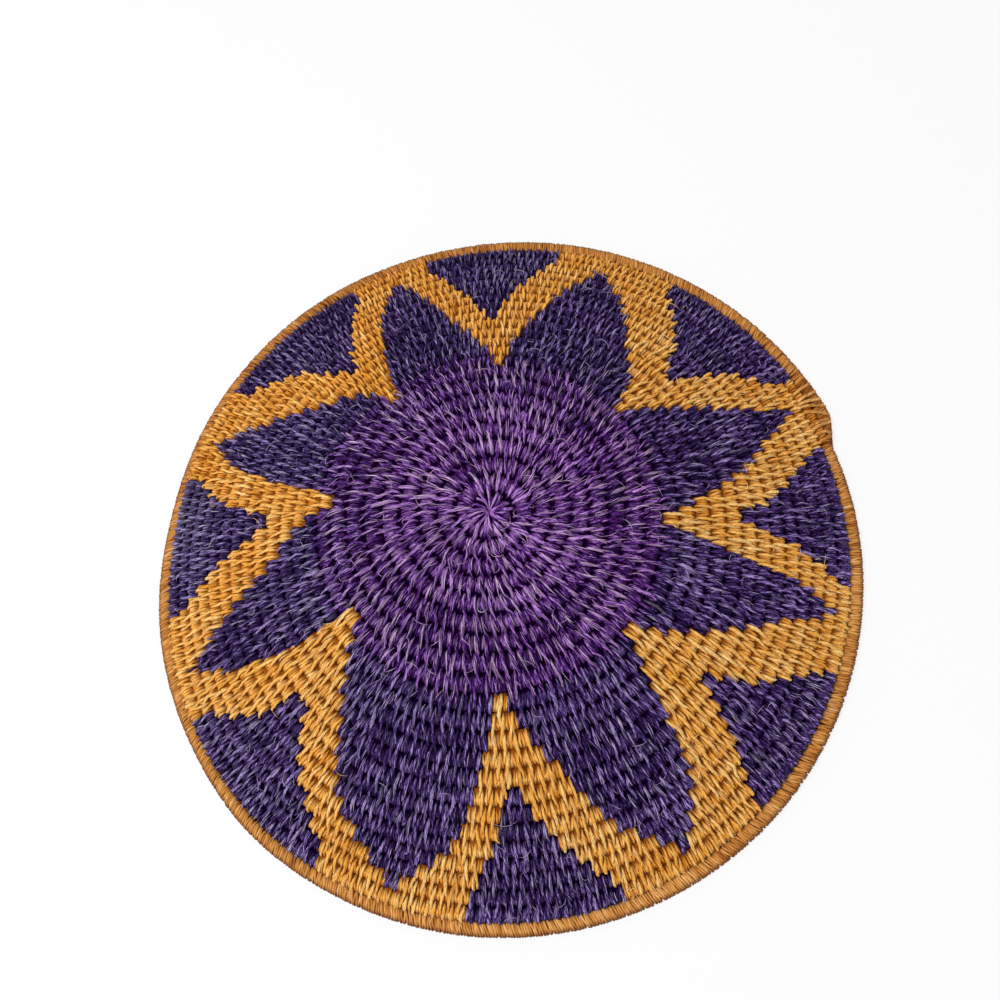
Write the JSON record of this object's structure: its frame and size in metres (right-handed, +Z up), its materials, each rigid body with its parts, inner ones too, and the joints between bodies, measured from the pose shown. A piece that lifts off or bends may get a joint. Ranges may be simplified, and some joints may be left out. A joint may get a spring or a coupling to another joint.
{
  "type": "coiled basket bowl",
  "caption": "Shallow round bowl of coiled, thread-bound grass, standing mouth down: flat dark base, sloping wall with a two-tone star, and a bound rim.",
  "frame": {"origin": "on the ground under the middle of the rim's outline, with the bowl mouth down on its rim", "axes": "+Z up, out of the base of the bowl and away from its mouth; -Y towards the near side of the picture, +X to its right"},
  "size_m": [0.3086, 0.31, 0.059],
  "materials": {
    "base_thread": "matte dyed sisal thread",
    "wall_thread": "matte dyed sisal thread",
    "star_thread": "matte dyed sisal thread with a slight silky sheen",
    "rim_thread": "matte dyed sisal thread with a slight silky sheen"
  },
  "bodies": {
    "root": {"base_coil": "base_thread", "centre_whorl": "base_thread", "gold_chevron_1": "star_thread", "gold_chevron_2": "star_thread", "gold_chevron_3": "star_thread", "gold_chevron_4": "star_thread", "gold_chevron_5": "star_thread", "gold_chevron_6": "star_thread", "gold_chevron_7": "star_thread", "gold_chevron_8": "star_thread", "indigo_petal_1": "wall_thread", "indigo_petal_2": "wall_thread", "indigo_petal_3": "wall_thread", "indigo_petal_4": "wall_thread", "indigo_petal_5": "wall_thread", "indigo_petal_6": "wall_thread", "indigo_petal_7": "wall_thread", "indigo_petal_8": "wall_thread", "indigo_triangle_1": "wall_thread", "indigo_triangle_2": "wall_thread", "indigo_triangle_3": "wall_thread", "indigo_triangle_4": "wall_thread", "indigo_triangle_5": "wall_thread", "indigo_triangle_6": "wall_thread", "indigo_triangle_7": "wall_thread", "indigo_triangle_8": "wall_thread", "rim_coil": "rim_thread", "rim_end_lashing": "rim_thread"}
  },
  "joints": []
}
